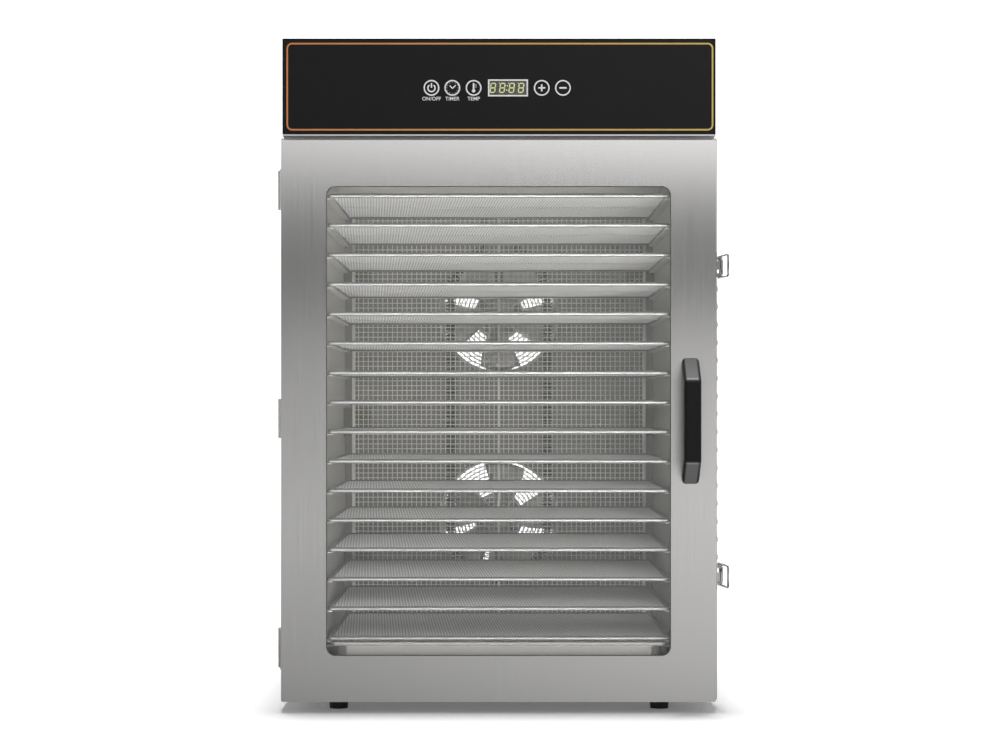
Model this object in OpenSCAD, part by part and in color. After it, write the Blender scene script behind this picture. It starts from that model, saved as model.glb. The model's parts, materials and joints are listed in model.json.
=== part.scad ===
// Sixteen-tray cabinet food dehydrator. Front faces -Y, +X to the right, +Z up.
// The origin is on the floor, below the middle of the cabinet.

/* [Cabinet] */
// Outer width of the cabinet
body_w = 440; // [438:1:444]
// Depth of the cabinet behind its door
body_d = 407; // [400:1:460]
// Height of the cabinet's top panel above the floor
body_top = 576; // [576:1:579]
// Thickness of the sheet steel
sheet_t = 1.2; // [1:0.1:1.5]
// Height of the rubber feet
foot_h = 11; // [9:1:15]

/* [Control housing] */
// Width of the black control panel
panel_w = 434; // [430:1:436]
// Height of the whole housing above the cabinet
housing_h = 97.8; // [95:0.1:120]
// Diameter of each round key
key_d = 16.6; // [15:0.2:18]
// How far each key goes in
key_travel = 0.5; // [0.3:0.1:0.8]

/* [Door] */
// Width of the door
door_w = 435; // [433:1:436]
// Height of the door
door_h = 562; // [560:1:563]
// Thickness of the door
door_t = 22; // [20:1:26]
// Width of the window
window_w = 345; // [330:1:346]
// Height of the window
window_h = 470; // [460:1:472]
// Length of the bow handle
handle_l = 128; // [110:1:150]
// How far the handle stands off the door
handle_proud = 34; // [30:1:40]

/* [Trays] */
// Number of mesh trays
tray_count = 16; // [16:1:16]
// Spacing of the trays
tray_pitch = 29.8; // [29.5:0.1:29.8]
// Width of a tray
tray_w = 346; // [340:1:347]
// Length of a tray from front to back
tray_l = 298; // [280:1:300]
// Height of a tray's rim
tray_rim_h = 4.5; // [3.5:0.1:5]

/* [Fans] */
// Radius of each fan opening
fan_open_r = 69; // [66:1:72]
// Number of blades on each fan
blade_count = 5; // [4:1:7]

/* [Hidden] */
NODES = [
    "base_panel", "side_panel_left", "side_panel_right", "top_panel", "rear_panel", "front_frame",
    "liner_left", "liner_right", "liner_top", "liner_floor", "fan_baffle", "heat_guard", "heater_loop",
    "fan_motor_upper", "fan_motor_lower", "fan_blades_upper", "fan_blades_lower",
    "control_housing", "control_panel", "display_lens",
    "key_power", "key_timer", "key_temp", "key_plus", "key_minus",
    "door_skin", "door_inner", "door_glass", "door_gasket", "door_handle",
    "hinge_body_leaves", "hinge_door_leaves", "hinge_pins",
    "latch_bases", "latch_catches", "latch_lever_upper", "latch_lever_lower",
    "latch_bail_upper", "latch_bail_lower", "feet", "power_inlet", "panel_screws", "drip_tray",
    "tray_01", "tray_02", "tray_03", "tray_04", "tray_05", "tray_06", "tray_07", "tray_08",
    "tray_09", "tray_10", "tray_11", "tray_12", "tray_13", "tray_14", "tray_15", "tray_16",
];
$fn = 48;
first_tray = len(NODES) - tray_count;
cut = 1;

// Front-to-back planes, from the front of the handle to the inlet on the back
door_gap = 1;
rear_proud = 3;
total_d = handle_proud + door_t + door_gap + body_d + rear_proud;
door_front = -total_d / 2 + handle_proud;
door_back = door_front + door_t;
body_front = door_back + door_gap;
body_back = body_front + body_d;

// Cabinet box and the chamber inside it
body_x = [-body_w / 2, body_w / 2];
body_y = [body_front, body_back];
body_z = [foot_h, body_top];
base_rise = 20;
chamber_hw = 175.5;
chamber_x = [-chamber_hw, chamber_hw];
chamber_z = [51, 543];
guard_y = body_front + 308;
heater_y = guard_y + 13;
baffle_y = guard_y + 28;
fan_z = [177.5, 413];
motor_arm = 74;
shaft_r = 4;
screw_r = 2.2;
inlet_x = [135, 165];
inlet_z = [65, 89];
foot_x = 163;
foot_y = [body_front + 22, body_back - 30];

// Door: it stands half a millimetre towards the hinges
door_mid = -0.5;
door_x = [door_mid - door_w / 2, door_mid + door_w / 2];
door_z = [foot_h, foot_h + door_h];
window_x = [door_mid - window_w / 2, door_mid + window_w / 2];
window_z = [57, 57 + window_h];
window_r = 9.5;
glass_t = 4;
glass_margin = 2;
glass_y = [door_front + sheet_t, door_front + sheet_t + glass_t];
inner_x = [-177.5, 177.5];
inner_z = [53, 533];
handle_x = [183, 200];
handle_z = [292 - handle_l / 2, 292 + handle_l / 2];

// Hinges
hinge_x = -220.8;
hinge_y = door_back + door_gap / 2;
hinge_r = 2.2;
pin_r = 1.1;
pin_play = 0.05;
hinge_z = [63.5, 294.5, 524.5];
leaf_t = 1.2;
leaf_hh = 20;
knuckle_h = 8;
knuckles = 5;
knuckle_gap = 0.3;

// Latches
latch_z = [135.5, 448.5];
latch_hh = 12.5;
latch_x = body_w / 2;
lever_pivot = [latch_x + 5.6, body_front + 26];
bail_pivot = [latch_x + 4.3, body_front + 34];
bail_end = [latch_x + 10, door_front + 9];
wire_r = 1.2;
bail_hw = 11.2;

// Tray positions: rim centre of the lowest tray
tray_z0 = 72.5;
tray_y = [body_front + 2, body_front + 2 + tray_l];
tray_gap = 0.2;
ledge_w = 7;
liner_t = 1;
drip_lip_z = [tray_z0 - 7.5, tray_z0 - 4];

// Control panel, counted from its middle
panel_t = 3;
panel_front = door_front + 3;
housing_z = [body_top + sheet_t, body_top + sheet_t + housing_h];
lip_h = 2;
panel_z = [housing_z[0] + lip_h, housing_z[1]];
key_z = 625.5;
key_x = [-67.6, -46.7, -25.4, 42.8, 64];
key_gap = 0.3;
key_proud = 0.2;
display_x = [-11, 29];
display_z = [key_z - 8.5, key_z + 8.5];

// ---- shared shapes ----

// A box given by its ranges along X, Y and Z
module box(x, y, z) {
    translate([x[0], y[0], z[0]])
        cube([x[1] - x[0], y[1] - y[0], z[1] - z[0]]);
}

// A box whose four edges along Y are rounded
module round_box_y(x, y, z, r) {
    box([x[0] + r, x[1] - r], y, z);
    box(x, y, [z[0] + r, z[1] - r]);
    for (cx = [x[0] + r, x[1] - r], cz = [z[0] + r, z[1] - r])
        rod_y(cx, cz, y, r);
}

// A box whose four edges along Z are rounded
module round_box_z(x, y, z, r) {
    box([x[0] + r, x[1] - r], y, z);
    box(x, [y[0] + r, y[1] - r], z);
    for (cx = [x[0] + r, x[1] - r], cy = [y[0] + r, y[1] - r])
        rod_z([cx, cy], z, r);
}

// A rod along Y through (x, z)
module rod_y(x, z, y, r) {
    translate([x, y[0], z])
        rotate([-90, 0, 0])
            cylinder(r = r, h = y[1] - y[0]);
}

// A rod along Z through the point p = [x, y]
module rod_z(p, z, r) {
    translate([p[0], p[1], z[0]])
        cylinder(r = r, h = z[1] - z[0]);
}

// An outline in the Y-Z plane, extruded along X
module prism_x(points, x) {
    translate([x[0], 0, 0])
        rotate([90, 0, 90])
            linear_extrude(x[1] - x[0])
                polygon(points);
}

// An outline in the X-Z plane, extruded along Y
module prism_y(points, y) {
    translate([0, y[1], 0])
        rotate([90, 0, 0])
            linear_extrude(y[1] - y[0])
                polygon(points);
}

function grow(range, by) = [range[0] - by, range[1] + by];

// ---- cabinet ----

module base_panel() {
    color("gainsboro")
    difference() {
        box(grow(body_x, -sheet_t), body_y, [body_z[0], body_z[0] + base_rise]);
        box(grow(body_x, -2 * sheet_t), grow(body_y, -sheet_t),
            [body_z[0] + sheet_t, body_z[0] + base_rise + cut]);
    }
}

// Room in the panels for the hinge knuckles
module hinge_pockets() {
    room = 0.4;
    for (z = hinge_z)
        rod_z([hinge_x, hinge_y], [z - leaf_hh - cut, z + leaf_hh + cut], hinge_r + room);
}

module side_panel_left() {
    color("gainsboro")
    difference() {
        box([body_x[0], body_x[0] + sheet_t], body_y, body_z);
        hinge_pockets();
    }
}

// One pressed louvre: a hood that is open at its lower edge
module louvre_hood(y, z, h, out, inset) {
    x0 = body_x[1] - sheet_t - inset;
    x1 = body_x[1];
    prism_y([[x0, z], [x1 + out, z], [x1 + out, z + h * 0.4], [x1, z + h], [x0, z + h]], y);
}

module side_panel_right() {
    louvre_h = 11;
    louvre_out = 3;
    louvre_pitch = 18.2;
    louvre_z0 = 150.5;
    louvre_count = 16;
    columns = [[body_front + 24, body_front + 154], [body_front + 184, body_front + 314]];
    wall = 0.9;
    color("gainsboro")
    difference() {
        union() {
            box([body_x[1] - sheet_t, body_x[1]], body_y, body_z);
            for (y = columns, i = [0 : louvre_count - 1])
                louvre_hood(y, louvre_z0 + i * louvre_pitch, louvre_h, louvre_out, 0);
        }
        for (y = columns, i = [0 : louvre_count - 1])
            louvre_hood(grow(y, -wall), louvre_z0 + i * louvre_pitch - wall, louvre_h,
                louvre_out - wall, 1);
    }
}

module top_panel() {
    color("gainsboro")
        box(body_x, body_y, [body_top, body_top + sheet_t]);
}

// Concentric slots of one exhaust grille, as cutters
module grille_slots(z) {
    inner_r = 29;
    outer_r = 66;
    slot_pitch = 4.2;
    slot_w = 2.7;
    sector = 62;
    first_turn = (90 - sector) / 2;
    for (r = [inner_r : slot_pitch : outer_r], quarter = [0 : 3])
        translate([0, body_back + cut, z])
            rotate([90, 0, 0])
                rotate([0, 0, first_turn + 90 * quarter])
                    rotate_extrude(angle = sector)
                        translate([r, 0])
                            square([slot_w, sheet_t + 2 * cut]);
}

module rear_panel() {
    color("silver")
    difference() {
        box(grow(body_x, -sheet_t), [body_back - sheet_t, body_back], [body_z[0] + base_rise, body_z[1]]);
        for (z = fan_z)
            grille_slots(z);
        box(inlet_x, grow([body_back - sheet_t, body_back], cut), inlet_z);
        for (z = fan_z, turn = [0 : 90 : 270])
            rod_y(motor_arm * cos(turn), z + motor_arm * sin(turn),
                grow([body_back - sheet_t, body_back], cut), screw_r);
    }
}

module front_frame() {
    color("lightgray")
    difference() {
        box(grow(body_x, -sheet_t), [body_front, body_front + sheet_t], [body_z[0] + base_rise, body_z[1]]);
        box(chamber_x, grow([body_front, body_front + sheet_t], cut), chamber_z);
        hinge_pockets();
    }
}

// ---- chamber ----

function ledge_top(i) = tray_z0 + i * tray_pitch - tray_rim_h / 2 - tray_gap;

// Side wall with its ledges; side is -1 for the left and 1 for the right
module liner_side(side) {
    wall_y = [body_front + sheet_t, body_back - sheet_t];
    wall_z = [body_z[0] + base_rise + 2, body_z[1] - 2];
    wall_x = side < 0 ? [-chamber_hw - liner_t, -chamber_hw] : [chamber_hw, chamber_hw + liner_t];
    root = liner_t / 2;
    ledge_x = side < 0
        ? [-chamber_hw - root, -chamber_hw + ledge_w]
        : [chamber_hw - ledge_w, chamber_hw + root];
    ledge_y = [body_front + 6, guard_y - 10];
    color("silver") {
        box(wall_x, wall_y, wall_z);
        for (i = [0 : tray_count - 1])
            box(ledge_x, ledge_y, [ledge_top(i) - liner_t, ledge_top(i)]);
        box(ledge_x, ledge_y, [drip_lip_z[0] - tray_gap - liner_t, drip_lip_z[0] - tray_gap]);
    }
}

module liner_left() {
    liner_side(-1);
}

module liner_right() {
    liner_side(1);
}

module liner_top() {
    color("silver")
        box(chamber_x, [body_front + sheet_t, body_back - sheet_t], [chamber_z[1], chamber_z[1] + liner_t]);
}

module liner_floor() {
    color("silver")
        box(chamber_x, [body_front + sheet_t, body_back - sheet_t], [chamber_z[0] - liner_t, chamber_z[0]]);
}

module fan_baffle() {
    color("darkgray")
    difference() {
        box(chamber_x, [baffle_y, baffle_y + sheet_t], chamber_z);
        for (z = fan_z)
            rod_y(0, z, grow([baffle_y, baffle_y + sheet_t], cut), fan_open_r);
    }
}

// Wire grid in front of the heater, with its middle rod and end clips
module heat_guard() {
    guard_hw = 164;
    wire = 1.2;
    columns = 30;
    rows = 22;
    z = grow(chamber_z, -5);
    rim_r = 2;
    rod_r = 1.5;
    rod_pos = [0, guard_y - 1.2];
    tie_z = [z[0] + 10, (z[0] + z[1]) / 2, z[1] - 10];
    clip_x = 145;
    clip_z = [126, 289, 452];
    clip_hh = 16;
    color("gainsboro") {
        for (i = [0 : columns - 1]) {
            x = -guard_hw + (i + 0.5) * 2 * guard_hw / columns;
            box([x - wire / 2, x + wire / 2], [guard_y, guard_y + wire], z);
        }
        for (i = [0 : rows]) {
            zc = z[0] + i * (z[1] - z[0]) / rows;
            box([-guard_hw, guard_hw], [guard_y + wire, guard_y + 2 * wire], [zc - wire / 2, zc + wire / 2]);
        }
        for (x = [-guard_hw - rim_r, guard_hw - rim_r])
            box([x, x + 2 * rim_r], [guard_y - 1, guard_y + 3], grow(z, 1));
        rod_z(rod_pos, z, rod_r);
        for (zc = tie_z)
            box([-2, 2], [rod_pos[1], guard_y + 1.5 * wire], [zc - 3, zc + 3]);
        for (x = [[-chamber_hw, -clip_x], [clip_x, chamber_hw]], zc = clip_z)
            box(x, [guard_y + wire, guard_y + 3 * wire], [zc - clip_hh, zc + clip_hh]);
    }
}

// Finned heating tube, as the envelope of its fins: a long loop round both fans, with its two
// plain ends going up to the top of the chamber
module heater_loop() {
    half_w = 54.5;
    end_x = 17.6;
    end_r = 3;
    sweep = acos(end_x / half_w);
    envelope_r = 6.4;
    ends = [165.5, 431.5];
    standoff_r = 2.5;
    color("darkslategray") {
        for (x = [-half_w, half_w])
            rod_z([x, heater_y], ends, envelope_r);
        for (start = [0, 180 - sweep])
            translate([0, heater_y, ends[1]])
                rotate([90, 0, 0])
                    rotate([0, 0, start])
                        rotate_extrude(angle = sweep)
                            translate([half_w, 0])
                                circle(r = envelope_r);
        for (x = [-end_x, end_x])
            rod_z([x, heater_y], [ends[1] + half_w * sin(sweep), chamber_z[1]], end_r);
        translate([0, heater_y, ends[0]])
            rotate([90, 0, 0])
                rotate([0, 0, 180])
                    rotate_extrude(angle = 180)
                        translate([half_w, 0])
                            circle(r = envelope_r);
        for (x = [-half_w, half_w], z = [ends[0] + 20, ends[1] - 20])
            rod_y(x, z, [heater_y + 2, baffle_y], standoff_r);
    }
}

// ---- fans ----

// Motor can on a four-armed bracket, with the shaft towards the front
module fan_motor(z) {
    can_r = 26;
    boss_r = 12;
    arm_hw = 5;
    arm_end = motor_arm + 6;
    can_y = [baffle_y + 34, body_back - sheet_t - 2];
    shaft_y = [baffle_y + 9.4, can_y[0] + 1];
    arm_y = [body_back - sheet_t - 3, body_back - sheet_t];
    color("dimgray") {
        rod_y(0, z, can_y, can_r);
        rod_y(0, z, [can_y[0] - 4, can_y[0]], boss_r);
        rod_y(0, z, shaft_y, shaft_r);
        box([-arm_end, arm_end], arm_y, [z - arm_hw, z + arm_hw]);
        box([-arm_hw, arm_hw], arm_y, [z - arm_end, z + arm_end]);
    }
}

// Fan wheel at height z: a hub with flat pitched blades, turned by phase
module fan_blades(z, phase) {
    hub_y = [baffle_y + 6, baffle_y + 26];
    hub_r = 17;
    tip_r = 65;
    pitch_angle = 32;
    chord = 36;
    blade_t = 1.4;
    overhang = 4;
    translate([0, 0, z])
        color("silver")
        difference() {
            union() {
                rod_y(0, 0, hub_y, hub_r);
                intersection() {
                    rod_y(0, 0, grow(hub_y, overhang), tip_r);
                    for (i = [0 : blade_count - 1])
                        rotate([0, phase + i * 360 / blade_count, 0])
                            translate([hub_r - 4, (hub_y[0] + hub_y[1]) / 2, 0])
                                rotate([pitch_angle, 0, 0])
                                    translate([0, -blade_t / 2, -chord / 2])
                                        cube([tip_r, blade_t, chord]);
                }
            }
            rod_y(0, 0, [hub_y[0] + 3, hub_y[1] + cut], shaft_r + pin_play);
        }
}

module fan_motor_upper() {
    fan_motor(fan_z[1]);
}

module fan_motor_lower() {
    fan_motor(fan_z[0]);
}

module fan_blades_upper() {
    fan_blades(fan_z[1], 20);
}

module fan_blades_lower() {
    fan_blades(fan_z[0], -8);
}

// ---- controls ----

// Steel cover behind the panel, open at its front and closed below where it overhangs the door
module control_housing() {
    x = [-panel_w / 2, panel_w / 2];
    y = [panel_front + panel_t, body_back];
    color("gainsboro") {
        difference() {
            box(x, y, housing_z);
            box(grow(x, -sheet_t), [y[0] - cut, y[1] - sheet_t], grow(housing_z, -sheet_t));
        }
        box(x, [panel_front, y[0] + sheet_t], [housing_z[0], housing_z[0] + lip_h]);
    }
}

module control_panel() {
    y = [panel_front, panel_front + panel_t];
    color("#1b1b1b")
    difference() {
        box([-panel_w / 2, panel_w / 2], y, panel_z);
        for (x = key_x)
            rod_y(x, key_z, grow(y, cut), key_d / 2 + key_gap);
        box(display_x, grow(y, cut), display_z);
    }
}

module display_lens() {
    color("#2a2d1c")
        box(display_x, [panel_front + 0.1, panel_front + panel_t], display_z);
}

module control_key(i) {
    color("#1b1b1b")
        rod_y(key_x[i], key_z, [panel_front - key_proud, panel_front + panel_t - key_travel], key_d / 2);
}

module key_power() {
    control_key(0);
}

module key_timer() {
    control_key(1);
}

module key_temp() {
    control_key(2);
}

module key_plus() {
    control_key(3);
}

module key_minus() {
    control_key(4);
}

// ---- door ----

module door_skin() {
    color("lightgray")
    difference() {
        round_box_y(door_x, [door_front, door_back], door_z, 2);
        round_box_y(grow(door_x, -sheet_t), [door_front + sheet_t, door_back + cut],
            grow(door_z, -sheet_t), 1);
        round_box_y(window_x, grow([door_front, door_front + sheet_t], cut), window_z, window_r);
    }
}

// Inner pan: back sheet and the collar that clamps the glass
module door_inner() {
    collar_y = [glass_y[1], door_back];
    edge = sheet_t + 0.7;
    pan_t = 1;
    color("silver")
    difference() {
        union() {
            round_box_y(grow(door_x, -edge), [door_back - pan_t, door_back], grow(door_z, -edge), 1);
            box(grow(inner_x, pan_t), collar_y, grow(inner_z, pan_t));
        }
        box(inner_x, grow(collar_y, cut), inner_z);
    }
}

module door_glass() {
    color("lightcyan", 0.3)
        box(grow(inner_x, glass_margin), glass_y, grow(inner_z, glass_margin));
}

module door_gasket() {
    outer_x = [-197, 197];
    outer_z = [31, 561];
    band = 13;
    y = [door_back, door_back + 0.7];
    color("#303030")
    difference() {
        box(outer_x, y, outer_z);
        box(grow(outer_x, -band), grow(y, cut), grow(outer_z, -band));
    }
}

// Bow handle: sloping ends and a flat grip
module door_handle() {
    slope = 23;
    thick = 9;
    foot_l = 13;
    inner_slope = slope + 6;
    y0 = door_front;
    y1 = door_front - handle_proud;
    z0 = handle_z[0];
    z1 = handle_z[1];
    color("#181818")
    difference() {
        prism_x([[y0, z0], [y1, z0 + slope], [y1, z1 - slope], [y0, z1]], handle_x);
        prism_x([[y0 + cut, z0 + foot_l], [y1 + thick, z0 + inner_slope], [y1 + thick, z1 - inner_slope],
            [y0 + cut, z1 - foot_l]], grow(handle_x, cut));
    }
}

// ---- hinges ----

// Height range of knuckle k on the hinge at z
function knuckle_range(z, k) = [
    z + (k - knuckles / 2) * knuckle_h + knuckle_gap / 2,
    z + (k + 1 - knuckles / 2) * knuckle_h - knuckle_gap / 2,
];

module hinge_body_leaves() {
    leaf_x = [body_x[0] - leaf_t, body_x[0]];
    leaf_l = 28;
    color("silver")
    for (z = hinge_z)
        difference() {
            union() {
                box(leaf_x, [hinge_y + hinge_r + 0.5, hinge_y + leaf_l], [z - leaf_hh, z + leaf_hh]);
                for (k = [0 : 2 : knuckles - 1]) {
                    rod_z([hinge_x, hinge_y], knuckle_range(z, k), hinge_r);
                    box(leaf_x, [hinge_y, hinge_y + 2 * hinge_r], knuckle_range(z, k));
                }
            }
            rod_z([hinge_x, hinge_y], [z - leaf_hh - cut, z + leaf_hh + cut], pin_r);
        }
}

module hinge_door_leaves() {
    leaf_x = [door_x[0] - leaf_t, door_x[0]];
    leaf_l = 20;
    color("silver")
    for (z = hinge_z)
        difference() {
            union() {
                box(leaf_x, [hinge_y - leaf_l, hinge_y - hinge_r - 0.5], [z - leaf_hh, z + leaf_hh]);
                for (k = [1 : 2 : knuckles - 1]) {
                    rod_z([hinge_x, hinge_y], knuckle_range(z, k), hinge_r);
                    box(leaf_x, [hinge_y - 2 * hinge_r, hinge_y], knuckle_range(z, k));
                }
            }
            rod_z([hinge_x, hinge_y], [z - leaf_hh - cut, z + leaf_hh + cut], pin_r + pin_play);
        }
}

module hinge_pins() {
    color("gray")
    for (z = hinge_z)
        rod_z([hinge_x, hinge_y], [z - leaf_hh, z + leaf_hh], pin_r);
}

// ---- draw latches ----

// Base plates with the two ears and the pin that each lever turns on
module latch_bases() {
    plate_t = 1.4;
    ear_out = 7.8;
    ear_z = [8.4, 9.8];
    pivot_y = lever_pivot[1];
    color("silver")
    for (z = latch_z) {
        box([latch_x, latch_x + plate_t], [pivot_y - 7, pivot_y + 34], [z - latch_hh, z + latch_hh]);
        for (s = [[-ear_z[1], -ear_z[0]], ear_z])
            box([latch_x, latch_x + ear_out], grow([pivot_y, pivot_y], 4), [z + s[0], z + s[1]]);
        rod_z(lever_pivot, [z - ear_z[1], z + ear_z[1]], wire_r);
    }
}

// Hook plates on the edge of the door
module latch_catches() {
    edge = door_x[1];
    plate_t = 1.6;
    hook_out = 7;
    hook_hw = 4.5;
    hook_y = bail_end[1] + wire_r + 1.8;
    color("gainsboro")
    for (z = latch_z) {
        box([edge, edge + plate_t], [door_front + 3, door_back - 3], [z - latch_hh, z + latch_hh]);
        box([edge, edge + hook_out], [hook_y, hook_y + 2], [z - hook_hw, z + hook_hw]);
        box([edge + hook_out - plate_t, edge + hook_out], [hook_y - 5, hook_y + 2],
            [z - hook_hw, z + hook_hw]);
    }
}

// Lever: a narrow channel with cheeks on the pivot pin and a turned-up tail
module latch_lever(z) {
    cheek_z = [6.2, 7.8];
    x = [latch_x + 6.8, latch_x + 8.2];
    y = [lever_pivot[1] - 2.2, lever_pivot[1] + 36];
    cheek_l = 13.2;
    tail_t = 1.4;
    tail_out = 2.2;
    bore_z = grow([z - cheek_z[1], z + cheek_z[1]], cut);
    color("gainsboro")
    difference() {
        union() {
            box(x, y, [z - cheek_z[1], z + cheek_z[1]]);
            for (s = [[-cheek_z[1], -cheek_z[0]], cheek_z])
                box([latch_x + 2.4, x[1]], [y[0], y[0] + cheek_l], [z + s[0], z + s[1]]);
            box([x[0], x[1] + tail_out], [y[1] - tail_t, y[1]], [z - cheek_z[1], z + cheek_z[1]]);
        }
        rod_z(lever_pivot, bore_z, wire_r + pin_play);
        rod_z(bail_pivot, bore_z, wire_r + pin_play);
    }
}

// Wire bail: two arms, an end bar and two pivot stubs in the lever's cheeks
module latch_bail(z) {
    run = bail_end - bail_pivot;
    reach = norm(run);
    lean = atan2(run[0], -run[1]);
    arm = 0.9;
    stub = [6.2, bail_hw + arm];
    color("gainsboro") {
        for (s = [-1, 1])
            translate([bail_pivot[0], bail_pivot[1], z + s * bail_hw])
                rotate([0, 0, lean])
                    box([-arm, arm], [-reach, 0], [-arm, arm]);
        rod_z(bail_pivot, [z + stub[0], z + stub[1]], wire_r);
        rod_z(bail_pivot, [z - stub[1], z - stub[0]], wire_r);
        rod_z(bail_end, [z - stub[1], z + stub[1]], wire_r);
    }
}

module latch_lever_upper() {
    latch_lever(latch_z[1]);
}

module latch_lever_lower() {
    latch_lever(latch_z[0]);
}

module latch_bail_upper() {
    latch_bail(latch_z[1]);
}

module latch_bail_lower() {
    latch_bail(latch_z[0]);
}

// ---- feet, inlet and screws ----

module feet() {
    color("#202020")
    for (x = [-foot_x, foot_x], y = foot_y)
        translate([x, y, 0])
            cylinder(r1 = 9.2, r2 = 10, h = foot_h);
}

// Appliance inlet: a flange and a recessed socket
module power_inlet() {
    depth = 24;
    socket_depth = 18;
    face_y = body_back + rear_proud;
    color("#1e1e1e")
    difference() {
        union() {
            box(grow(inlet_x, 9), [body_back, face_y], grow(inlet_z, 2));
            box(inlet_x, [body_back - depth, face_y], inlet_z);
        }
        box(grow(inlet_x, -2.5), [body_back - socket_depth, face_y + cut], grow(inlet_z, -3));
    }
}

// Domed screws: four on each fan bracket, and those that hold the top cover at the back
module panel_screws() {
    head_r = 3.4;
    head_h = 2;
    cover_x = [-200, -70, 70, 200];
    color("darkgray") {
        for (z = fan_z, turn = [0 : 90 : 270]) {
            x = motor_arm * cos(turn);
            zc = z + motor_arm * sin(turn);
            rod_y(x, zc, [body_back - sheet_t, body_back], screw_r);
            rod_y(x, zc, [body_back, body_back + head_h], head_r);
        }
        for (x = cover_x)
            rod_y(x, housing_z[0] + 11, [body_back, body_back + head_h], head_r);
    }
}

// ---- trays ----

// Shallow pan with a rolled lip, below the lowest mesh tray
module drip_tray() {
    lip_x = [-172, 172];
    lip_w = 7;
    pan_x = [-164, 164];
    pan_h = 11;
    pan_r = 10;
    wall = 1;
    y = [body_front + 2, guard_y - 8];
    color("gainsboro")
    difference() {
        union() {
            round_box_z(lip_x, y, drip_lip_z, 6);
            round_box_z(pan_x, grow(y, -lip_w), [drip_lip_z[0] - pan_h, drip_lip_z[1]], pan_r);
        }
        round_box_z(grow(pan_x, -wall), grow(y, -lip_w - wall),
            [drip_lip_z[0] - pan_h + wall, drip_lip_z[1] + cut], pan_r - wall);
    }
}

// Mesh tray: a rim, a cross bar and the mesh floor, which is a plain sheet here
module mesh_tray(i) {
    z = tray_z0 + i * tray_pitch;
    x = [-tray_w / 2, tray_w / 2];
    rim = 5;
    corner_r = 2;
    floor_t = 1;
    bar_hw = 2.5;
    rim_z = [z - tray_rim_h / 2, z + tray_rim_h / 2];
    middle = (tray_y[0] + tray_y[1]) / 2;
    color("gainsboro") {
        difference() {
            round_box_z(x, tray_y, rim_z, corner_r);
            box(grow(x, -rim), grow(tray_y, -rim), grow(rim_z, cut));
        }
        box(grow(x, -rim), grow(tray_y, -rim), [z - floor_t / 2, z + floor_t / 2]);
        box(grow(x, -rim), [middle - bar_hw, middle + bar_hw], [rim_z[0], z - floor_t / 2]);
    }
}

base_panel();
side_panel_left();
side_panel_right();
top_panel();
rear_panel();
front_frame();
liner_left();
liner_right();
liner_top();
liner_floor();
fan_baffle();
heat_guard();
heater_loop();
fan_motor_upper();
fan_motor_lower();
fan_blades_upper();
fan_blades_lower();
control_housing();
control_panel();
display_lens();
key_power();
key_timer();
key_temp();
key_plus();
key_minus();
door_skin();
door_inner();
door_glass();
door_gasket();
door_handle();
hinge_body_leaves();
hinge_door_leaves();
hinge_pins();
latch_bases();
latch_catches();
latch_lever_upper();
latch_lever_lower();
latch_bail_upper();
latch_bail_lower();
feet();
power_inlet();
panel_screws();
drip_tray();
for (i = [0 : tray_count - 1])
    mesh_tray(i);
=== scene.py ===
"""Looks of the cabinet food dehydrator: materials, fine metalwork, prints, lights and camera."""
import json
import math

import bmesh
import bpy
from mathutils import Matrix, Vector

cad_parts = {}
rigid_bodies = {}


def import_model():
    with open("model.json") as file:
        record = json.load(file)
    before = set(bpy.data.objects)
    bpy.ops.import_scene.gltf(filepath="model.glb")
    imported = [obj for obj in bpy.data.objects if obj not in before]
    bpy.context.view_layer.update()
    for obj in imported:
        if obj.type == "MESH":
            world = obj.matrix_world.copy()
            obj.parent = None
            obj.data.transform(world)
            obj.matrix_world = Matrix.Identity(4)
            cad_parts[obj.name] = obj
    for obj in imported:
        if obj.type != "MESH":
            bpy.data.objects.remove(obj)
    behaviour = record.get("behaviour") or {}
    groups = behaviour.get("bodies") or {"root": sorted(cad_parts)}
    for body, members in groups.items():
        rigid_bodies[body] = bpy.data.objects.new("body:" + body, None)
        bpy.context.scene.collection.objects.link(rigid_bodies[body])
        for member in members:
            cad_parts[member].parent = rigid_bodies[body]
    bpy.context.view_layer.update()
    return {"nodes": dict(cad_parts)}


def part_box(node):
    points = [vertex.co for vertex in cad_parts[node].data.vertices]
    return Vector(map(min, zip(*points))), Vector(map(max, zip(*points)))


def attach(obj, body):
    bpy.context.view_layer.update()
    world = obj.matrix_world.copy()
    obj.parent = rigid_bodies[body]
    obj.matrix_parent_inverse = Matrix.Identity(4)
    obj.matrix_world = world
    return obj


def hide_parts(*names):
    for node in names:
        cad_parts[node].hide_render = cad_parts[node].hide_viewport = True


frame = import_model()
MM = 0.001

WINDOW = ((-173 * MM, 172 * MM), (57 * MM, 527 * MM))
TRAYS = sorted(name for name in frame["nodes"] if name.startswith("tray_"))


# ---- materials ----

def srgb(red, green, blue):
    """Linear colour of an sRGB colour given from 0 to 255."""
    def linear(value):
        value /= 255
        return value / 12.92 if value <= 0.04045 else ((value + 0.055) / 1.055) ** 2.4
    return (linear(red), linear(green), linear(blue), 1.0)


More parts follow.
